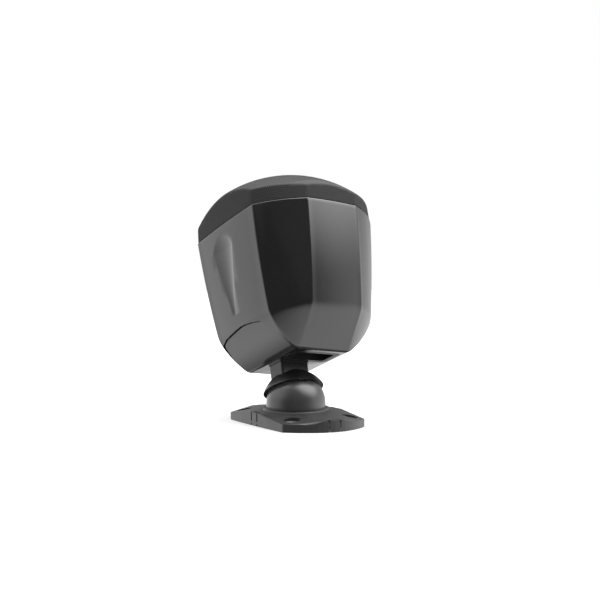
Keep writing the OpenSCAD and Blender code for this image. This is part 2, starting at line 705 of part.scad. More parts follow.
module woofer_cone() color([0.2, 0.2, 0.22]) woofer_frame() rotate_extrude($fn = 72) polygon([
    [coil_r + coil_t + 0.02, cone_low], [coil_r + coil_t + 2, cone_low], [cone_r, flange_t - 0.9], [cone_r, flange_t - 0.05],
    [cone_r - 1.8, flange_t - 0.05], [coil_r + coil_t + 0.6, cone_low + 1], [coil_r + coil_t + 0.02, cone_low + 1]
]);

module dust_cap() color([0.16, 0.16, 0.17]) woofer_frame() translate([0, 0, cone_low + 1.1]) intersection() {
    translate([0, 0, 3.4 - dust_r]) difference() {
        sphere(r = dust_r, $fn = 64);
        sphere(r = dust_r - 0.6, $fn = 64);
    }
    cylinder(r = coil_r + coil_t + 0.4, h = deep, $fn = 48);
}

module voice_coil() color("sienna") woofer_frame() {
    washer(coil_r, coil_r + coil_t, gap_z - 7, cone_low + 0.9);
    washer(coil_r + coil_t / 2, coil_r + coil_t + 0.25, gap_z - 4.5 - cone_travel, gap_z + 0.5 + cone_travel);
}

module spider() color("darkgoldenrod") woofer_frame() rotate_extrude($fn = 72) for (i = [0 : 3])
    translate([coil_r + coil_t + 0.3 + i * spider_step, ledge_z]) polygon([
        [0, i == 0 ? 0.5 : 0], [spider_step / 2, 1.4], [spider_step, 0],
        [spider_step, 0.6], [spider_step / 2, 2], [0, i == 0 ? 1.1 : 0.6]
    ]);

module top_plate() color("silver") woofer_frame() washer(coil_r + coil_t + 0.6, magnet_r - 2, gap_z - pole_t, gap_z);

module woofer_magnet() color([0.22, 0.22, 0.24]) woofer_frame()
    washer(coil_r + 4, magnet_r, gap_z - pole_t - magnet_t, gap_z - pole_t);

module pole_yoke() color("silver") woofer_frame() {
    translate([0, 0, gap_z - 2 * pole_t - magnet_t]) cylinder(r = magnet_r - 2, h = pole_t, $fn = 72);
    translate([0, 0, gap_z - pole_t - magnet_t - 1]) cylinder(r = coil_r - 0.5, h = pole_t + magnet_t + 1, $fn = 72);
}

// Tweeter

module tweeter_frame() cab_frame() translate([0, tweeter_y, baffle_top]) children();

module at_tweeter_screws() translate([0, tweeter_y, 0]) for (s = [-1, 1]) translate([s * (tweeter_r - 1.6), 0, 0]) children();

module tweeter_flange() color([0.12, 0.12, 0.13]) tweeter_frame() difference() {
    union() {
        cylinder(r = tweeter_r, h = flange_t, $fn = 64);
        translate([0, 0, -3]) cylinder(r = tweeter_cut_r - 0.2, h = 3.1, $fn = 64);
    }
    translate([0, 0, -4]) cylinder(r = dome_tweet_r + 0.3, h = 10, $fn = 48);
    translate([0, 0, -0.6]) cylinder(r1 = dome_tweet_r + 0.3, r2 = tweeter_cut_r - 1.4, h = 2.61, $fn = 48);
    for (s = [-1, 1]) translate([s * (tweeter_r - 1.6), 0, -5]) cylinder(d = small_screw_d + 0.1, h = 10, $fn = 20);
}

module tweeter_dome() color("lightgray") tweeter_frame() {
    translate([0, 0, -4.6]) intersection() {
        sphere(r = dome_tweet_r, $fn = 48);
        translate([0, 0, 1.8]) cylinder(r = deep, h = deep);
    }
}

module tweeter_magnet() color([0.22, 0.22, 0.24]) tweeter_frame() {
    translate([0, 0, -9]) cylinder(r = tweeter_cut_r - 1, h = 6, $fn = 64);
    translate([0, 0, -12]) cylinder(r = tweeter_cut_r - 2, h = 3.1, $fn = 64);
}

module tweeter_screws() color("silver") cab_frame() at_tweeter_screws()
    translate([0, 0, baffle_top + flange_t]) screw(flange_t + baffle_t - 0.5, small_screw_d, 3.2, 1);

// Crossover on the posts of the terminal cup, its parts and the wires to the drivers

module board_frame() cab_frame() translate([0, cup_y + board_y, board_z]) children();

module crossover_board() color("seagreen") board_frame() translate([0, 0, 0.7]) cube([board_w, board_h, 1.4], center = true);

module crossover_coil() color("orangered") board_frame() translate([-board_w / 4, 0, 1.4])
    washer(3, 7, 0.05, 9);

module crossover_capacitor() color("steelblue") board_frame() translate([board_w / 4, -9, 1.4 + 4.05])
    rotate([-90, 0, 0]) cylinder(r = 4, h = 18, $fn = 48);

module crossover_resistor() color("ivory") board_frame()
    translate([board_w / 4 - 13, -board_h / 2 + 1.5, 1.45]) cube([17, 4.5, 5]);

module wire(points) for (i = [0 : len(points) - 2]) {
    run = points[i + 1] - points[i];
    translate(points[i]) rotate([0, acos(run[2] / norm(run)), atan2(run[1], run[0])])
        translate([0, 0, -wire_d / 3]) cylinder(d = wire_d, h = norm(run) + wire_d / 1.5, $fn = 8);
}

module hookup_wires() color("firebrick") cab_frame() for (s = [-1, 1]) {
    wire([
        [s * 2, cup_y + board_y + 12, board_z + 1.9], [s * 2, cup_y + board_y + 12, board_z + 5],
        [s * 6, magnet_y + 12, mix(board_z, baffle_top, 0.47)], [s * 4, woofer_y + woofer_cut_r - 4.2, baffle_top - 10]
    ]);
    wire([
        [s * 5, cup_y + board_y + 14, board_z + 1.9], [s * 5, cup_y + board_y + 14, board_z + 5],
        [s * 7, tweeter_y - 6, mix(board_z, baffle_top, 0.57)], [s * 4, tweeter_y - 1, baffle_top - 12.7]
    ]);
}

// Pad of fibre against the upper wall

module damping_pad() color("whitesmoke") cab_frame()
    translate([0, break_half_y - cab_wall + 0.8, break_z + 6])
    rotate([-atan2(front_half_y - break_half_y, front_dz - break_dz), 0, 0])
    translate([-pad_w / 2, -pad_t, 0]) cube([pad_w, pad_t, pad_l]);

wall_plate();
retaining_ring();
ring_screws();
swivel_dome();
clamp_shoe();
clamp_spring();
clamp_bolt();
neck_arm();
neck_insert();
arm_screws();
cabinet();
terminal_cup();
lever_red();
lever_black();
lever_pin();
terminal_springs();
baffle();
baffle_screws();
grille();
grille_frame();
grille_grommets();
woofer_basket();
woofer_gasket();
woofer_screws();
woofer_surround();
woofer_cone();
dust_cap();
voice_coil();
spider();
top_plate();
woofer_magnet();
pole_yoke();
tweeter_flange();
tweeter_dome();
tweeter_magnet();
tweeter_screws();
crossover_board();
crossover_coil();
crossover_capacitor();
crossover_resistor();
hookup_wires();
damping_pad();
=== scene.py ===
import math

import bmesh
import bpy
import numpy as np
from mathutils import Matrix, Vector


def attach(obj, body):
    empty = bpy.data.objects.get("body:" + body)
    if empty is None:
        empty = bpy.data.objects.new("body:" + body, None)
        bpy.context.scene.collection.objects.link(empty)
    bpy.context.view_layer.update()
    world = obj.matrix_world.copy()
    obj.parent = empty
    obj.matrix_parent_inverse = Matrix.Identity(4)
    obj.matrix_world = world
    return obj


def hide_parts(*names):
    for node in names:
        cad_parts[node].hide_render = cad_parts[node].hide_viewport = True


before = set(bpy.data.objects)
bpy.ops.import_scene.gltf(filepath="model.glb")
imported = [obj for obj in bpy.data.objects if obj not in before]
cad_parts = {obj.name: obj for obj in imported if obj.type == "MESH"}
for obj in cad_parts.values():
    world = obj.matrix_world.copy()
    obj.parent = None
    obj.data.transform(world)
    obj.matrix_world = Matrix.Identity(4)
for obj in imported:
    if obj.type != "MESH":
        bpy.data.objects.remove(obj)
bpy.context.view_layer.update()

# View: a long lens held low beside the plate's corner, looking one degree down,
# so the back of the cabinet, its left side and the ball mount are all in sight.
ahead = Vector((0.4795, 0.8773, -0.0218)).normalized()
to_right = Vector((0.8775, -0.4796, 0.0)).normalized()
to_top = to_right.cross(ahead).normalized()
lens = bpy.data.cameras.new("view")
lens.sensor_width = 36
lens.lens = 69.83
lens.clip_start = 0.02
camera = bpy.data.objects.new("view", lens)
camera.matrix_world = Matrix.Translation((-0.3874, -0.7148, 0.1038)) @ Matrix(
    (
        (to_right.x, to_top.x, -ahead.x),
        (to_right.y, to_top.y, -ahead.y),
        (to_right.z, to_top.z, -ahead.z),
    )
).to_4x4()
bpy.context.scene.collection.objects.link(camera)
bpy.context.scene.camera = camera
bpy.context.scene.view_settings.view_transform = "Standard"

# Studio: a white sweep under three softboxes. What the glossy surfaces mirror is the room's own map
# of soft bright panels, round a dark side towards the camera that the black corner facet mirrors.
level_ahead = Vector((ahead.x, ahead.y, 0)).normalized()


def room_direction(turn, rise):
    """A direction by its turn to the right of the camera's own side and its rise, in degrees."""
    t, r = math.radians(turn), math.radians(rise)
    flat = -level_ahead * math.cos(t) + to_right * math.sin(t)
    return (flat * math.cos(r) + Vector((0, 0, math.sin(r)))).normalized()


def softbox(name, turn, rise, distance, wide, high, watts, aim=(0, 0.01, 0.09)):
    lamp = bpy.data.lights.new(name, "AREA")
    lamp.shape = "RECTANGLE"
    lamp.size, lamp.size_y, lamp.energy = wide, high, watts
    box = bpy.data.objects.new(name, lamp)
    box.location = Vector(aim) + room_direction(turn, rise) * distance
    box.rotation_mode = "QUATERNION"
    box.rotation_quaternion = (Vector(aim) - box.location).to_track_quat("-Z", "Y")
    box.visible_glossy = False
    bpy.context.scene.collection.objects.link(box)


softbox("overhead_softbox", 180, 78, 1.1, 1.3, 1.3, 15)
softbox("right_softbox", 78, 40, 0.95, 0.42, 0.5, 3.0)
softbox("left_softbox", -112, 2, 0.9, 0.5, 0.7, 1.4)


def soft_panel_group():
    """Brightness of one round soft panel of the room, seen along a direction."""
    group = bpy.data.node_groups.new("soft panel", "ShaderNodeTree")
    face = group.interface
    face.new_socket("Direction", in_out="INPUT", socket_type="NodeSocketVector")
    face.new_socket("Centre", in_out="INPUT", socket_type="NodeSocketVector")
    for name in ("Outer Edge", "Inner Edge", "Level"):
        face.new_socket(name, in_out="INPUT", socket_type="NodeSocketFloat")
    face.new_socket("Brightness", in_out="OUTPUT", socket_type="NodeSocketFloat")
    into, out = group.nodes.new("NodeGroupInput"), group.nodes.new("NodeGroupOutput")
    near = group.nodes.new("ShaderNodeVectorMath")
    near.operation = "DOT_PRODUCT"
    ramp = group.nodes.new("ShaderNodeMapRange")
    ramp.interpolation_type = "SMOOTHSTEP"
    group.links.new(into.outputs["Direction"], near.inputs[0])
    group.links.new(into.outputs["Centre"], near.inputs[1])
    group.links.new(near.outputs["Value"], ramp.inputs["Value"])
    group.links.new(into.outputs["Outer Edge"], ramp.inputs["From Min"])
    group.links.new(into.outputs["Inner Edge"], ramp.inputs["From Max"])
    group.links.new(into.outputs["Level"], ramp.inputs["To Max"])
    group.links.new(ramp.outputs[0], out.inputs["Brightness"])
    return group


world = bpy.data.worlds.new("studio")
bpy.context.scene.world = world
world.use_nodes = True
sky = world.node_tree
sky.nodes.clear()
sky_out = sky.nodes.new("ShaderNodeOutputWorld")
sky_rays = sky.nodes.new("ShaderNodeLightPath")
sky_way = sky.nodes.new("ShaderNodeTexCoord")
soft_panel = soft_panel_group()
room_level = None
# Each panel: turn and rise of its middle, how far its edge fades out and in, and its brightness.
# A black flag takes brightness away. All but the last are rounded results of a least-squares fit
# to the grey levels of the photograph.
room_panels = (
    (-109, 10, 81, 24, 1.25), (126, -90, 108, 32, 3.1), (115, 16, 58, 17, 0.6),
    (88, 59, 43, 13, 4.0), (164, -75, 50, 15, -1.3), (-52, -73, 109, 33, -1.9),
    (98, 5, 47, 14, 0.35), (-94, -42, 36, 11, -0.55), (180, 76, 45, 15, 4.0))
for turn, rise, outer, inner, level in room_panels:
    panel = sky.nodes.new("ShaderNodeGroup")
    panel.node_tree = soft_panel
    panel.inputs["Centre"].default_value = room_direction(turn, rise)
    panel.inputs["Outer Edge"].default_value = math.cos(math.radians(outer))
    panel.inputs["Inner Edge"].default_value = math.cos(math.radians(inner))
    panel.inputs["Level"].default_value = level
    sky.links.new(sky_way.outputs["Generated"], panel.inputs["Direction"])
    total = sky.nodes.new("ShaderNodeMath")
    total.inputs[1].default_value = 0.07
    sky.links.new(panel.outputs[0], total.inputs[0])
    if room_level:
        sky.links.new(room_level, total.inputs[1])
    room_level = total.outputs[0]
room_floor = sky.nodes.new("ShaderNodeMath")
room_floor.operation = "MAXIMUM"
room_floor.inputs[1].default_value = 0.02
sky.links.new(room_level, room_floor.inputs[0])
mirror_rays = sky.nodes.new("ShaderNodeMath")
mirror_rays.operation = "MAXIMUM"
sky.links.new(sky_rays.outputs["Is Glossy Ray"], mirror_rays.inputs[0])
sky.links.new(sky_rays.outputs["Is Transmission Ray"], mirror_rays.inputs[1])
sky_fill = sky.nodes.new("ShaderNodeMix")
sky_fill.inputs["A"].default_value = 0.42
sky.links.new(mirror_rays.outputs[0], sky_fill.inputs["Factor"])
sky.links.new(room_floor.outputs[0], sky_fill.inputs["B"])
sky_strength = sky.nodes.new("ShaderNodeMix")
sky.links.new(sky_rays.outputs["Is Camera Ray"], sky_strength.inputs["Factor"])
sky.links.new(sky_fill.outputs[0], sky_strength.inputs["A"])
sky_strength.inputs["B"].default_value = 1.0
sky_light = sky.nodes.new("ShaderNodeBackground")
sky_light.inputs["Color"].default_value = (1, 1, 1, 1)
sky.links.new(sky_strength.outputs[0], sky_light.inputs["Strength"])
sky.links.new(sky_light.outputs[0], sky_out.inputs[0])

sweep_paper = bpy.data.materials.new("white_sweep")
sweep_paper.use_nodes = True
paper = sweep_paper.node_tree
paper.nodes.clear()
paper_out = paper.nodes.new("ShaderNodeOutputMaterial")
paper_add = paper.nodes.new("ShaderNodeAddShader")
paper_matt = paper.nodes.new("ShaderNodeBsdfDiffuse")
paper_matt.inputs["Color"].default_value = (0.82, 0.82, 0.82, 1)
paper_glow = paper.nodes.new("ShaderNodeEmission")
paper_glow.inputs["Color"].default_value = (1, 1, 1, 1)
paper_rays = paper.nodes.new("ShaderNodeLightPath")
paper_place = paper.nodes.new("ShaderNodeTexCoord")
paper_far = paper.nodes.new("ShaderNodeVectorMath")
paper_far.operation = "LENGTH"
paper.links.new(paper_place.outputs["Object"], paper_far.inputs[0])
seen_glow = paper.nodes.new("ShaderNodeMapRange")
seen_glow.interpolation_type = "SMOOTHSTEP"
seen_glow.inputs["From Min"].default_value = 0.1
seen_glow.inputs["From Max"].default_value = 0.4
seen_glow.inputs["To Min"].default_value = 0.42
seen_glow.inputs["To Max"].default_value = 1.0
paper.links.new(paper_far.outputs["Value"], seen_glow.inputs["Value"])
# Under the plate's footprint, its corners cut off, the floor gets no glow for camera rays: painted shade
# under the plate, seen through its slots and hollow.
under_plate = paper.nodes.new("ShaderNodeVectorMath")
under_plate.operation = "ABSOLUTE"
paper.links.new(paper_place.outputs["Object"], under_plate.inputs[0])
reach = paper.nodes.new("ShaderNodeVectorMath")
reach.operation = "SUBTRACT"
reach.inputs[1].default_value = (0.031, 0.053, 1)
paper.links.new(under_plate.outputs[0], reach.inputs[0])
sides = paper.nodes.new("ShaderNodeSeparateXYZ")
paper.links.new(reach.outputs[0], sides.inputs[0])
clear = paper.nodes.new("ShaderNodeMath")
clear.operation = "MAXIMUM"
paper.links.new(sides.outputs["X"], clear.inputs[0])
paper.links.new(sides.outputs["Y"], clear.inputs[1])
cut_corner = paper.nodes.new("ShaderNodeVectorMath")
cut_corner.operation = "DOT_PRODUCT"
cut_corner.inputs[1].default_value = (1, 1, 0)
paper.links.new(reach.outputs[0], cut_corner.inputs[0])
beyond_corner = paper.nodes.new("ShaderNodeMath")
beyond_corner.inputs[1].default_value = 0.022
paper.links.new(cut_corner.outputs["Value"], beyond_corner.inputs[0])
clear_of_both = paper.nodes.new("ShaderNodeMath")
clear_of_both.operation = "MAXIMUM"
paper.links.new(clear.outputs[0], clear_of_both.inputs[0])
paper.links.new(beyond_corner.outputs[0], clear_of_both.inputs[1])
outside = paper.nodes.new("ShaderNodeMath")
outside.operation = "GREATER_THAN"
outside.inputs[1].default_value = 0
paper.links.new(clear_of_both.outputs[0], outside.inputs[0])
seen = paper.nodes.new("ShaderNodeMath")
seen.operation = "MULTIPLY"
paper.links.new(paper_rays.outputs["Is Camera Ray"], seen.inputs[0])
paper.links.new(outside.outputs[0], seen.inputs[1])
glow = paper.nodes.new("ShaderNodeMath")
glow.operation = "MULTIPLY"
paper.links.new(seen.outputs[0], glow.inputs[0])
paper.links.new(seen_glow.outputs[0], glow.inputs[1])
paper.links.new(glow.outputs[0], paper_glow.inputs["Strength"])
paper.links.new(paper_matt.outputs[0], paper_add.inputs[0])
paper.links.new(paper_glow.outputs[0], paper_add.inputs[1])
paper.links.new(paper_add.outputs[0], paper_out.inputs[0])

sweep_mesh = bpy.data.meshes.new("white_sweep")
SWEEP_HALF, SWEEP_Z = 6, -0.0002
sweep_corners = [(x * SWEEP_HALF, y * SWEEP_HALF, SWEEP_Z) for x, y in ((-1, -1), (1, -1), (1, 1), (-1, 1))]
sweep_mesh.from_pydata(sweep_corners, [], [(0, 1, 2, 3)])
sweep = bpy.data.objects.new("white_sweep", sweep_mesh)
sweep.visible_glossy = False
sweep_mesh.materials.append(sweep_paper)
bpy.context.scene.collection.objects.link(sweep)

# Wall plate: one injection moulding in dark satin plastic, crowned towards the collar that
# guides the dome, with countersunk holes and thin knock-out tabs. It keeps the solid's shape.


def grain_group():
    """Surface of a spark-eroded mould: a fine even grain with a slow drift in its depth."""
    group = bpy.data.node_groups.new("mould grain", "ShaderNodeTree")
    face = group.interface
    face.new_socket("Grain Size", in_out="INPUT", socket_type="NodeSocketFloat").default_value = 900
    face.new_socket("Depth", in_out="INPUT", socket_type="NodeSocketFloat").default_value = 0.1
    face.new_socket("Normal", in_out="OUTPUT", socket_type="NodeSocketVector")
    face.new_socket("Drift", in_out="OUTPUT", socket_type="NodeSocketFloat")
    into, out = group.nodes.new("NodeGroupInput"), group.nodes.new("NodeGroupOutput")
    place = group.nodes.new("ShaderNodeTexCoord")
    fine = group.nodes.new("ShaderNodeTexNoise")
    fine.inputs["Detail"].default_value = 3
    slow = group.nodes.new("ShaderNodeTexNoise")
    slow.inputs["Scale"].default_value = 35
    slow.inputs["Detail"].default_value = 2
    bump = group.nodes.new("ShaderNodeBump")
    bump.inputs["Distance"].default_value = 0.0002
    group.links.new(place.outputs["Object"], fine.inputs["Vector"])
    group.links.new(place.outputs["Object"], slow.inputs["Vector"])
    group.links.new(into.outputs["Grain Size"], fine.inputs["Scale"])
    group.links.new(into.outputs["Depth"], bump.inputs["Strength"])
    group.links.new(fine.outputs["Fac"], bump.inputs["Height"])
    group.links.new(bump.outputs["Normal"], out.inputs["Normal"])
    group.links.new(slow.outputs["Fac"], out.inputs["Drift"])
    return group


mould_grain = grain_group()


def grained(name, colour, other_colour, rough, rough_more, grain_size, depth, **sockets):
    """A plastic or painted skin: two near tones and a roughness that drift, over the mould grain."""
    material = bpy.data.materials.new(name)
    material.use_nodes = True
    tree = material.node_tree
    skin = tree.nodes["Principled BSDF"]
    grain = tree.nodes.new("ShaderNodeGroup")
    grain.node_tree = mould_grain
    grain.inputs["Grain Size"].default_value = grain_size
    grain.inputs["Depth"].default_value = depth
    tones = tree.nodes.new("ShaderNodeMix")
    tones.data_type = "RGBA"
    tones.inputs["A"].default_value = (*colour, 1)
    tones.inputs["B"].default_value = (*other_colour, 1)
    shine = tree.nodes.new("ShaderNodeMapRange")
    shine.inputs["To Min"].default_value = rough
    shine.inputs["To Max"].default_value = rough_more
    tree.links.new(grain.outputs["Drift"], tones.inputs["Factor"])
    tree.links.new(grain.outputs["Drift"], shine.inputs["Value"])
    tree.links.new(tones.outputs["Result"], skin.inputs["Base Color"])
    tree.links.new(shine.outputs["Result"], skin.inputs["Roughness"])
    tree.links.new(grain.outputs["Normal"], skin.inputs["Normal"])
    for socket, value in sockets.items():
        skin.inputs[socket.replace("_", " ")].default_value = value
    return material


def dress(material, *nodes):
    for node in nodes:
        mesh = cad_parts[node].data
        mesh.materials.clear()
        mesh.materials.append(material)


plate_plastic = grained(
    "plate_plastic", (0.030, 0.030, 0.031), (0.040, 0.040, 0.041), 0.38, 0.46, 1400, 0.12,
    Specular_IOR_Level=0.6,
)
dress(plate_plastic, "wall_plate")

# Retaining ring and screws: pressed and rolled steel with a zinc coat, on the wall side of the
# plate, where they hold the dome's foot flange up against its step.
zinc_coat = grained(
    "zinc_coat", (0.50, 0.50, 0.49), (0.60, 0.60, 0.58), 0.28, 0.42, 600, 0.08, Metallic=1.0
)
dress(zinc_coat, "retaining_ring", "ring_screws", "clamp_shoe", "clamp_spring", "clamp_bolt")

# Swivel dome: a hollow die casting with a satin grey lacquer, slotted over its crown for the
# clamp bolt. It turns in the plate's collar.
dome_lacquer = grained(
    "dome_lacquer", (0.085, 0.085, 0.088), (0.105, 0.105, 0.108), 0.26, 0.34, 1800, 0.05,
    Metallic=0.35, Specular_IOR_Level=0.7,
)
dress(dome_lacquer, "swivel_dome")

# Neck: one black casting, a cap that rides on the dome and a block neck screwed to the cabinet.
# Its threaded insert is turned brass.
neck_lacquer = grained(
    "neck_lacquer", (0.012, 0.012, 0.013), (0.018, 0.018, 0.019), 0.30, 0.38, 1500, 0.04,
    Specular_IOR_Level=0.55,
)
dress(neck_lacquer, "neck_arm")
insert_brass = grained(
    "insert_brass", (0.62, 0.42, 0.16), (0.70, 0.50, 0.22), 0.22, 0.34, 500, 0.05, Metallic=1.0
)
dress(insert_brass, "neck_insert")
dress(zinc_coat, "arm_screws")

# Cabinet: a thin-walled moulding in near-black high gloss. Eight bowed facets widen to the seam;
# behind the break they close in to the flat back panel. Each side has a finger scoop and a rear flat.
BALL = Vector((0, 0, 14))
turned = (
    Matrix.Rotation(math.radians(-6.7), 3, "Z")
    @ Matrix.Rotation(math.radians(-27.3), 3, "X")
    @ Matrix.Rotation(math.radians(13.3), 3, "Z")
    @ Matrix.Rotation(math.radians(7), 3, "X")
)
CABINET_X, BACK_Z, BREAK_H, SEAM_H = 5.5, 29.4, 25.0, 99.6


def cabinet_point(x, y, h):
    """From the cabinet's own millimetres, h over the back panel, to the model's metres."""
    return (BALL + turned @ Vector((x + CABINET_X, y, BACK_Z + h))) / 1000


def half_sizes(h):
    """Half width, half height and the two facet half lengths of the octagon at h."""
    if h >= BREAK_H:
        t = (h - BREAK_H) / (SEAM_H - BREAK_H)
        swell = 4 * t * (1 - t)
        return 43.5 + 8 * t + swell, 53.3 + 8.6 * t + swell, 20.7, 33.7 + 4.5 * t, 1.0
    t = max(0.0, h / BREAK_H)
    round_t = (1 - (1 - t) ** 1.3) ** (1 / 1.3)
    return 21 + 22.5 * round_t, 32 + 21.3 * t, 20.7, 32 + 1.7 * t, t


def soft_sizes(h):
    """The same with the break eased over a few millimetres."""
    near = [half_sizes(h + step) for step in (-2.4, -1.2, 0, 1.2, 2.4)] if 3 < h < 60 else [half_sizes(h)]
    return [sum(values) / len(near) for values in zip(*near)]


def octagon_ring(h, inset, corner=1.0, along=12, around=5, side_bow=1.0, corner_bow=2.4):
    """One closed ring of the octagon: bowed facets joined by small rounds, inset all round."""
    hx, hy, fx, fy, fade = soft_sizes(h)
    if h < 2:
        hx, hy, inset = hx - inset, hy - inset, 0
        fx, fy = min(fx, hx - 0.5), min(fy, hy - 0.5)
    tips = [(hx, -fy), (hx, fy), (fx, hy), (-fx, hy), (-hx, fy), (-hx, -fy), (-fx, -hy), (fx, -hy)]
    tips = [np.array(t) for t in tips]
    sides = []
    for i in range(8):
        a, b = tips[i], tips[(i + 1) % 8]
        length = np.linalg.norm(b - a)
        out = np.array([b[1] - a[1], a[0] - b[0]]) / max(length, 1e-6)
        bow = (side_bow if i % 2 == 0 else corner_bow) * fade
        sides.append((a, b, out, bow, length))
    shifted = []
    for i in range(8):
        mid = sides[i - 1][2] + sides[i][2]
        shifted.append(tips[i] - mid / (mid @ mid) * 2 * inset if np.linalg.norm(mid) > 1e-6 else tips[i])
    ring = []
    for i in range(8):
        a, b = shifted[i], shifted[(i + 1) % 8]
        _, _, out, bow, _ = sides[i]
        length = max(np.linalg.norm(b - a), 1e-3)
        start = min(0.4, corner / length)
        for k in range(along):
            t = start + (1 - 2 * start) * k / (along - 1)
            ring.append(a + (b - a) * t + out * bow * 4 * t * (1 - t))
        c, d = shifted[(i + 1) % 8], shifted[(i + 2) % 8]
        _, _, out2, bow2, _ = sides[(i + 1) % 8]
        length2 = max(np.linalg.norm(d - c), 1e-3)
        start2 = min(0.4, corner / length2)
        p0 = ring[-1]
        p2 = c + (d - c) * start2 + out2 * bow2 * 4 * start2 * (1 - start2)
        tip = b + (out * bow + out2 * bow2) * 4 * 0.02
        for k in range(1, around):
            t = k / around
            ring.append(p0 * (1 - t) ** 2 + tip * 2 * t * (1 - t) + p2 * t * t)
    return ring


def new_piece(name, vertices, faces, material, smooth_under=30):
    mesh = bpy.data.meshes.new(name)
    mesh.from_pydata(vertices, [], faces)
    piece = bpy.data.objects.new(name, mesh)
    bpy.context.scene.collection.objects.link(piece)
    tidy = bmesh.new()
    tidy.from_mesh(mesh)
    bmesh.ops.remove_doubles(tidy, verts=tidy.verts, dist=1e-6)
    bmesh.ops.recalc_face_normals(tidy, faces=tidy.faces)
    tidy.to_mesh(mesh)
    tidy.free()
    mesh.shade_smooth()
    mesh.set_sharp_from_angle(angle=math.radians(smooth_under))
    mesh.materials.append(material)
    return piece


def lofted(rings, close_first=True, close_last=True):
    """Vertices and faces of a skin over rings with equal counts."""
    count = len(rings[0])
    vertices = [p for ring in rings for p in ring]
    faces = []
    for r in range(len(rings) - 1):
        for k in range(count):
            n = (k + 1) % count
            faces.append((r * count + k, r * count + n, (r + 1) * count + n, (r + 1) * count + k))
    if close_first:
        faces.append(tuple(reversed(range(count))))
    if close_last:
        faces.append(tuple((len(rings) - 1) * count + k for k in range(count)))
    return vertices, faces


cabinet_gloss = grained(
    "cabinet_gloss", (0.016, 0.016, 0.017), (0.022, 0.022, 0.023), 0.06, 0.10, 260, 0.015,
    Specular_IOR_Level=0.9,
)
# A near-black matte skin for the walls of the rear recesses, passed on to the shell by the cut: painted shade
# in the gap round each rear flat.
etched_wall = grained(
    "etched_wall", (0.006, 0.006, 0.007), (0.010, 0.010, 0.011), 0.45, 0.55, 900, 0.15,
    Specular_IOR_Level=0.3,
)
heights = [(0.0, 1.1), (0.25, 0.45), (0.9, 0.05), (1.6, 0)]
rounded_back = (3, 5, 7.5, 10, 12.5, 15, 17.5, 19.5, 21.5, 23, 24.2, 25.4, 26.6, 28, 30)
straight_front = (33, 38, 45, 53, 61, 70, 79, 88, 94)
heights += [(h, 0) for h in rounded_back + straight_front]
heights += [(97, 0), (SEAM_H - 0.9, 0), (SEAM_H - 0.6, 0.04), (SEAM_H - 0.35, 0.15), (SEAM_H - 0.15, 0.35)]
heights += [(SEAM_H - 0.04, 0.6), (SEAM_H, 0.9)]
heights += [(SEAM_H, 2.6), (SEAM_H - 2.6, 2.6)]
rings = [[cabinet_point(p[0], p[1], h) for p in octagon_ring(h, inset)] for h, inset in heights]
shell = new_piece("cabinet_shell", *lofted(rings), cabinet_gloss)


SCOOP_DEPTH, SCOOP_HALF_W, SCOOP_Y = 1.8, 13.3, 4.6


def scoop_dip(y, h):
    """Depth of the finger scoop: a shallow bowl at the top that runs down into a narrow groove."""
    v = y / SCOOP_HALF_W
    if h > 82.3:
        return SCOOP_DEPTH * (1 - ((h - 79) / SCOOP_HALF_W) ** 2 - v * v)
    share = max(0.0, (h - 35.6) / 46.7)
    wide, deep = 2.33 + 10.57 * share, 0.5 + 1.19 * share
    beyond = max(0.0, (35.6 - h) / 2.4)
    return deep * (1 - (y / wide) ** 2 - beyond**2)


def scoop_tool(side):
    """The solid cut from a side wall: flat outside, the scoop's own surface inside."""
    across, along = 56, 96
    vertices = []
    for layer in (0, 1):
        for j in range(along + 1):
            h = 31 + 64 * j / along
            for i in range(across + 1):
                y = -16 + 32 * i / across
                hx, _, _, fy, _ = half_sizes(h)
                t = (y + SCOOP_Y + fy) / (2 * fy)
                wall = hx + 4 * t * (1 - t)
                out = 4.0 if layer else -max(scoop_dip(y, h), -2.5)
                vertices.append(cabinet_point(side * (wall + out), y + SCOOP_Y, h))
    row, layer_size = across + 1, (across + 1) * (along + 1)
    faces = []
    for j in range(along):
        for i in range(across):
            a = j * row + i
            faces.append((a, a + 1, a + 1 + row, a + row))
            faces.append(tuple(layer_size + k for k in (a + row, a + 1 + row, a + 1, a)))
    rim = [i for i in range(row)] + [j * row + across for j in range(1, along + 1)]
    rim += [along * row + i for i in range(across - 1, -1, -1)] + [j * row for j in range(along - 1, 0, -1)]
    for a, b in zip(rim, rim[1:] + rim[:1]):
        faces.append((a, layer_size + a, layer_size + b, b))
    mesh = bpy.data.meshes.new("scoop_tool")
    mesh.from_pydata(vertices, [], faces)
    fix = bmesh.new()
    fix.from_mesh(mesh)
    bmesh.ops.recalc_face_normals(fix, faces=fix.faces)
    fix.to_mesh(mesh)
    fix.free()
    tool = bpy.data.objects.new("scoop_tool", mesh)
    bpy.context.scene.collection.objects.link(tool)
    return tool


def prism_tool(name, outline, low, high, place):
    """A straight prism over an outline of (u, v), from low to high, placed by a function."""
    count = len(outline)
    vertices = [place(u, v, low) for u, v in outline] + [place(u, v, high) for u, v in outline]
    faces = [tuple(reversed(range(count))), tuple(range(count, 2 * count))]
    faces += [(k, (k + 1) % count, count + (k + 1) % count, count + k) for k in range(count)]
    mesh = bpy.data.meshes.new(name)
    mesh.from_pydata(vertices, [], faces)
    fix = bmesh.new()
    fix.from_mesh(mesh)
    bmesh.ops.recalc_face_normals(fix, faces=fix.faces)
    fix.to_mesh(mesh)
    fix.free()
    tool = bpy.data.objects.new(name, mesh)
    bpy.context.scene.collection.objects.link(tool)
    return tool


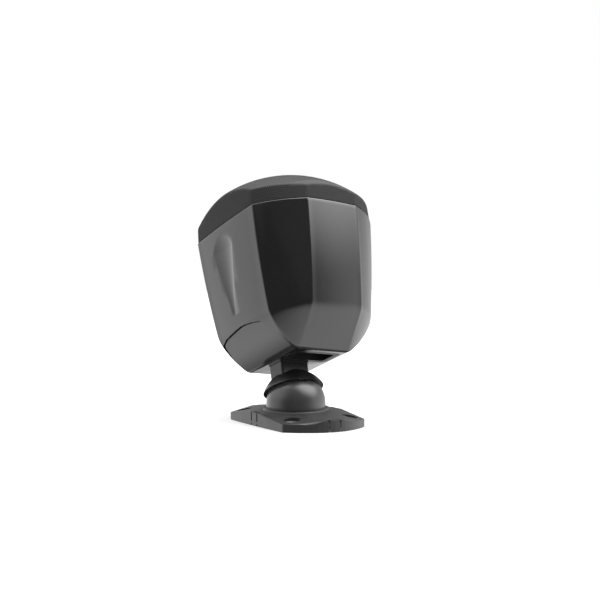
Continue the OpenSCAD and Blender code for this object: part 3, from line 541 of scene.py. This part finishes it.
def rounded(outline, radius, steps=6):
    """The outline of (u, v) points with each corner rounded."""
    result = []
    count = len(outline)
    for i in range(count):
        p, a, b = (np.array(outline[j % count], float) for j in (i, i - 1, i + 1))
        to_a, to_b = (a - p) / np.linalg.norm(a - p), (b - p) / np.linalg.norm(b - p)
        turn = math.acos(max(-1, min(1, float(to_a @ to_b))))
        cut = min(radius / math.tan(turn / 2), np.linalg.norm(a - p) * 0.45, np.linalg.norm(b - p) * 0.45)
        for k in range(steps + 1):
            t = k / steps
            start, end = p + to_a * cut, p + to_b * cut
            result.append(tuple(start * (1 - t) ** 2 + p * 2 * t * (1 - t) + end * t * t))
    return result


def carve(piece, *tools):
    for tool in tools:
        cut = piece.modifiers.new("cut", "BOOLEAN")
        cut.operation = "DIFFERENCE"
        cut.solver = "EXACT"
        cut.material_mode = "TRANSFER"
        cut.object = tool
    carved = bpy.data.meshes.new_from_object(piece.evaluated_get(bpy.context.evaluated_depsgraph_get()))
    piece.modifiers.clear()
    piece.data = carved
    for tool in tools:
        bpy.data.objects.remove(tool)


FLAT_RUN = math.hypot(22.5, 25)
flat_edge = [(-0.12, 1.05), (0, 1.05), (0.74, 1.05), (0.83, 0.8), (0.86, 0.6), (0.9, 0.31), (0.925, 0.08)]
flat_edge += [(0.92, -0.1), (0.88, -0.37), (0.82, -0.65), (0.6, -0.79), (0.36, -0.9), (0, -0.98), (-0.12, -1)]


def flat_point(side, u, v, w):
    """Beside the lower facet: u along it from the back panel, v up the cabinet, w out of it."""
    slope = math.atan2(22.5, 25)
    x = 21 + u * math.sin(slope) + w * math.cos(slope)
    return cabinet_point(side * x, v, u * math.cos(slope) - w * math.sin(slope))


RECESS_LOW, RECESS_TALL = -1.2, 12.0


def flared(u, v, w):
    """The recess's tool widens outwards, so its walls lean."""
    grow = (w - RECESS_LOW) / RECESS_TALL
    return FLAT_RUN / 2 + (u - FLAT_RUN / 2) * (1 + 0.9 * grow), v * (1 + 0.05 * grow), w


FLOOR_R, FLOOR_BULGE, FLOOR_LEAN = 77, 1.5, 0.028


def floor_lift(u):
    """Height of the recess's floor over the straight line of the lower facet."""
    far = u - FLAT_RUN / 2
    return FLOOR_BULGE - FLOOR_R + math.sqrt(FLOOR_R**2 - far * far) - FLOOR_LEAN * far


tools = []
for side in (-1, 1):
    tools.append(scoop_tool(side))
    recess = rounded([(share * FLAT_RUN, y * 32) for share, y in flat_edge], 2)
    lean = prism_tool(
        "rear_recess_tool", recess, RECESS_LOW, RECESS_LOW + RECESS_TALL,
        lambda u, v, w, s=side: flat_point(s, *flared(u, v, w)),
    )
    # The tool's walls carry the painted shade onto the recess walls of the shell.
    lean.data.materials.append(etched_wall)
    floor = [(a * FLAT_RUN / 60, w) for a in range(-20, 81) for w in (floor_lift(a * FLAT_RUN / 60),)]
    under = prism_tool(
        "rear_floor_tool", floor + [(FLAT_RUN * 80 / 60, -12), (-FLAT_RUN / 3, -12)], -60, 60,
        lambda u, w, v, s=side: flat_point(s, u, v, w),
    )
    under.data.materials.append(cabinet_gloss)
    carve(lean, under)
    tools.append(lean)
cup_hole = rounded([(-18.6, -11.35), (18.6, -11.35), (18.6, 11.35), (-18.6, 11.35)], 5)
tools.append(prism_tool("cup_tool", cup_hole, -1, 1.35, lambda u, v, w: cabinet_point(u, v - 16.4, w)))
cup_well = rounded([(-16.7, -9.45), (16.7, -9.45), (16.7, 9.45), (-16.7, 9.45)], 3.4)
tools.append(prism_tool("well_tool", cup_well, 0.5, 16, lambda u, v, w: cabinet_point(u, v - 16.4, w)))
carve(shell, *tools)
shell.data.shade_smooth()
shell.data.set_sharp_from_angle(angle=math.radians(24))
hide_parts("cabinet")
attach(shell, "speaker")

# Terminal cup: a black moulding clipped into the back panel, with two sprung levers on a steel
# pin over brass-plated contact strips.
cup_plastic = grained("cup_plastic", (0.010, 0.010, 0.011), (0.015, 0.015, 0.016), 0.34, 0.45, 1200, 0.12)
dress(cup_plastic, "terminal_cup", "lever_black")
lever_plastic = grained("lever_plastic", (0.16, 0.008, 0.007), (0.20, 0.012, 0.010), 0.3, 0.4, 900, 0.05)
dress(lever_plastic, "lever_red")
dress(zinc_coat, "lever_pin", "terminal_springs")

# Grille: perforated steel sheet pressed to an octagonal band under a domed face and painted dark
# grey with a fine texture. Pegs on its frame push into grommets in the baffle.
grille_paint = grained(
    "grille_paint", (0.040, 0.040, 0.040), (0.052, 0.052, 0.052), 0.55, 0.7, 1500, 0.8,
    Specular_IOR_Level=0.2,
)
FACE_RISE, FACE_R, BAND_LEAN = 38.0, 88.5, 1.0 / 24
BAND_FOOT, GAP_FLOOR, GAP_INSET, CREASE_R = 0.55, 0.05, 0.975, 0.9


def face_height(x, y):
    return FACE_RISE - FACE_R + math.sqrt(FACE_R**2 - x * x - y * y)


band_low = octagon_ring(SEAM_H, 0.4, corner=2.0, along=16)


def band_point(p, z):
    far = np.linalg.norm(p)
    return p * (1 - BAND_LEAN * z / far)


crease = []
for p in band_low:
    z = 10.0
    for _ in range(40):
        q = band_point(p, z)
        z = 0.5 * z + 0.5 * face_height(q[0], q[1])
    crease.append((band_point(p, z), z))
grille_rings = [
    [cabinet_point(p[0] * GAP_INSET, p[1] * GAP_INSET, SEAM_H + h) for p in band_low]
    for h in (GAP_FLOOR, BAND_FOOT)
]
for share in (0.0, 0.03, 0.15, 0.35, 0.6, 0.8, 0.9):
    ring = []
    for p, (top, z) in zip(band_low, crease):
        h = BAND_FOOT + (z - BAND_FOOT - CREASE_R) * share / 0.9
        q = band_point(p, h)
        ring.append(cabinet_point(q[0], q[1], SEAM_H + h))
    grille_rings.append(ring)
for bend in (0.25, 0.5, 0.75):
    ring = []
    for top, z in crease:
        far = np.linalg.norm(top)
        low = np.array([*top, z - CREASE_R])
        inner = top * (1 - CREASE_R / far)
        high = np.array([*inner, face_height(*inner)])
        tip = np.array([*top, z])
        q = low * (1 - bend) ** 2 + tip * 2 * bend * (1 - bend) + high * bend**2
        ring.append(cabinet_point(q[0], q[1], SEAM_H + q[2]))
    grille_rings.append(ring)
for share in (1.0, 0.985, 0.96, 0.92, 0.87, 0.81, 0.74, 0.66, 0.57, 0.47, 0.36, 0.24, 0.12, 0.03):
    ring = []
    for top, z in crease:
        far = np.linalg.norm(top)
        q = top * (1 - CREASE_R / far) * share
        ring.append(cabinet_point(q[0], q[1], SEAM_H + face_height(*q)))
    grille_rings.append(ring)
grille_sheet = lofted(grille_rings, close_first=False)
grille_skin = new_piece("grille_skin", *grille_sheet, grille_paint, smooth_under=50)

# Perforations of the grille: rows of small round holes, staggered, over the face and the band, drawn as
# near-black discs just over the sheet: painted shade for the dark inside each hole.
hole_dark = grained(
    "hole_dark", (0.008, 0.008, 0.008), (0.012, 0.012, 0.012), 0.7, 0.8, 1000, 0.1, Specular_IOR_Level=0.2
)


def perforation_tree():
    """Sets a disc on each seed point, turned to its normal."""
    tree = bpy.data.node_groups.new("perforations", "GeometryNodeTree")
    face = tree.interface
    face.new_socket("Seeds", in_out="INPUT", socket_type="NodeSocketGeometry")
    face.new_socket("Hole Radius", in_out="INPUT", socket_type="NodeSocketFloat")
    face.new_socket("Hole Sides", in_out="INPUT", socket_type="NodeSocketInt")
    face.new_socket("Hole Colour", in_out="INPUT", socket_type="NodeSocketMaterial")
    face.new_socket("Perforations", in_out="OUTPUT", socket_type="NodeSocketGeometry")
    into, out = tree.nodes.new("NodeGroupInput"), tree.nodes.new("NodeGroupOutput")
    disc = tree.nodes.new("GeometryNodeMeshCircle")
    disc.fill_type = "NGON"
    way = tree.nodes.new("GeometryNodeInputNamedAttribute")
    way.data_type = "FLOAT_VECTOR"
    way.inputs["Name"].default_value = "facing"
    turn = tree.nodes.new("FunctionNodeAlignRotationToVector")
    turn.axis = "Z"
    place = tree.nodes.new("GeometryNodeInstanceOnPoints")
    real = tree.nodes.new("GeometryNodeRealizeInstances")
    paint = tree.nodes.new("GeometryNodeSetMaterial")
    tree.links.new(into.outputs["Hole Radius"], disc.inputs["Radius"])
    tree.links.new(into.outputs["Hole Sides"], disc.inputs["Vertices"])
    tree.links.new(into.outputs["Seeds"], place.inputs["Points"])
    tree.links.new(disc.outputs["Mesh"], place.inputs["Instance"])
    tree.links.new(way.outputs["Attribute"], turn.inputs["Vector"])
    tree.links.new(turn.outputs["Rotation"], place.inputs["Rotation"])
    tree.links.new(place.outputs["Instances"], real.inputs["Geometry"])
    tree.links.new(real.outputs["Geometry"], paint.inputs["Geometry"])
    tree.links.new(into.outputs["Hole Colour"], paint.inputs["Material"])
    tree.links.new(paint.outputs["Geometry"], out.inputs["Perforations"])
    return tree


def from_tree(name, seeds, facing, tree, **values):
    """Runs a tree over seed points and keeps the result as a plain mesh."""
    seed_mesh = bpy.data.meshes.new(name)
    seed_mesh.from_pydata(seeds, [], [])
    way = seed_mesh.attributes.new("facing", "FLOAT_VECTOR", "POINT")
    way.data.foreach_set("vector", np.array(facing, np.float32).ravel())
    piece = bpy.data.objects.new(name, seed_mesh)
    bpy.context.scene.collection.objects.link(piece)
    nodes = piece.modifiers.new("build", "NODES")
    nodes.node_group = tree
    for item in tree.interface.items_tree:
        if item.in_out == "INPUT" and item.name.replace(" ", "_") in values:
            nodes[item.identifier] = values[item.name.replace(" ", "_")]
    made = bpy.data.meshes.new_from_object(piece.evaluated_get(bpy.context.evaluated_depsgraph_get()))
    piece.modifiers.clear()
    piece.data = made
    return piece


PITCH, SOLID_EDGE, DISC_LIFT = 1.6, 1.3, 0.03
seeds, facing = [], []
angles = np.array([math.atan2(t[1], t[0]) for t, _ in crease])
radii = np.array([np.linalg.norm(t) for t, _ in crease])
order = np.argsort(angles)
for j in range(-40, 41):
    for i in range(-40, 41):
        x, y = (i + 0.5 * (j % 2)) * PITCH, j * PITCH * 0.866
        far = math.hypot(x, y)
        limit = np.interp(math.atan2(y, x), angles[order], radii[order], period=2 * math.pi)
        if far > limit - SOLID_EDGE:
            continue
        normal = Vector((x, y, math.sqrt(FACE_R**2 - x * x - y * y))).normalized()
        lifted = (x + normal.x * DISC_LIFT, y + normal.y * DISC_LIFT, SEAM_H + face_height(x, y) + DISC_LIFT)
        seeds.append(cabinet_point(*lifted))
        facing.append(turned @ normal)
ring_xy = np.array(band_low)
steps = np.linalg.norm(np.roll(ring_xy, -1, 0) - ring_xy, axis=1)
walk = np.concatenate([[0], np.cumsum(steps)])
tops = np.array([z for _, z in crease])
count_round = int(walk[-1] / PITCH)
for row in range(16):
    h = 1.5 + row * PITCH * 0.866
    for k in range(count_round):
        s = (k + 0.5 * (row % 2)) / count_round * walk[-1]
        i = int(np.searchsorted(walk, s, side="right") - 1) % len(ring_xy)
        n = (i + 1) % len(ring_xy)
        t = (s - walk[i]) / steps[i]
        p = ring_xy[i] * (1 - t) + ring_xy[n] * t
        if h > tops[i] * (1 - t) + tops[n] * t - SOLID_EDGE:
            continue
        edge = ring_xy[n] - ring_xy[i]
        out = Vector((edge[1], -edge[0], 0.04 * np.linalg.norm(edge))).normalized()
        q = band_point(p, h)
        seeds.append(cabinet_point(q[0] + out.x * DISC_LIFT, q[1] + out.y * DISC_LIFT, SEAM_H + h))
        facing.append(turned @ out)
perforations = from_tree(
    "grille_perforations", seeds, facing, perforation_tree(),
    Hole_Radius=0.00055, Hole_Sides=7, Hole_Colour=hole_dark,
)
for piece in (grille_skin, perforations):
    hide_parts("grille")
    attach(piece, "speaker")

# Behind the grille: its peg frame and grommets, and the baffle that carries both drivers.
inner_plastic = grained("inner_plastic", (0.020, 0.020, 0.020), (0.030, 0.030, 0.030), 0.45, 0.6, 700, 0.15)
dress(inner_plastic, "grille_frame", "baffle", "tweeter_flange")
black_rubber = grained("black_rubber", (0.012, 0.012, 0.012), (0.020, 0.020, 0.020), 0.6, 0.75, 800, 0.15)
dress(black_rubber, "grille_grommets", "woofer_gasket", "woofer_surround")
dress(zinc_coat, "baffle_screws", "woofer_screws", "tweeter_screws", "top_plate", "pole_yoke")

# Drivers: a pressed basket, a moulded cone on a pleated cloth spider, ferrite magnets and a
# coated cloth dome for the highs.
basket_paint = grained("basket_paint", (0.020, 0.020, 0.021), (0.030, 0.030, 0.031), 0.35, 0.5, 900, 0.1)
dress(basket_paint, "woofer_basket")
cone_plastic = grained("cone_plastic", (0.018, 0.018, 0.020), (0.030, 0.030, 0.032), 0.4, 0.55, 500, 0.2)
dress(cone_plastic, "woofer_cone", "dust_cap")
spider_cloth = grained("spider_cloth", (0.35, 0.22, 0.06), (0.45, 0.29, 0.09), 0.8, 0.9, 1500, 0.4)
dress(spider_cloth, "spider")
coil_wire = grained("coil_wire", (0.50, 0.20, 0.09), (0.60, 0.26, 0.12), 0.3, 0.4, 1500, 0.3, Metallic=0.9)
dress(coil_wire, "voice_coil", "crossover_coil")
ferrite = grained("ferrite", (0.015, 0.015, 0.017), (0.030, 0.030, 0.032), 0.6, 0.8, 700, 0.3)
dress(ferrite, "woofer_magnet", "tweeter_magnet")
dome_cloth = grained("dome_cloth", (0.20, 0.20, 0.20), (0.26, 0.26, 0.26), 0.5, 0.65, 2200, 0.3)
dress(dome_cloth, "tweeter_dome")

# Crossover, its wires and the fibre pad, all closed in by the cabinet.
board_lacquer = grained("board_lacquer", (0.010, 0.080, 0.025), (0.014, 0.100, 0.032), 0.3, 0.4, 900, 0.1)
dress(board_lacquer, "crossover_board")
film_wrap = grained("film_wrap", (0.012, 0.035, 0.20), (0.016, 0.045, 0.25), 0.2, 0.3, 600, 0.05)
dress(film_wrap, "crossover_capacitor")
cement = grained("cement", (0.55, 0.54, 0.50), (0.66, 0.65, 0.60), 0.7, 0.85, 1200, 0.4)
dress(cement, "crossover_resistor")
wire_jacket = grained("wire_jacket", (0.24, 0.012, 0.010), (0.32, 0.018, 0.014), 0.4, 0.5, 900, 0.1)
dress(wire_jacket, "hookup_wires")
fibre_wool = grained("fibre_wool", (0.62, 0.62, 0.58), (0.76, 0.76, 0.72), 0.9, 1.0, 300, 0.8)
dress(fibre_wool, "damping_pad")
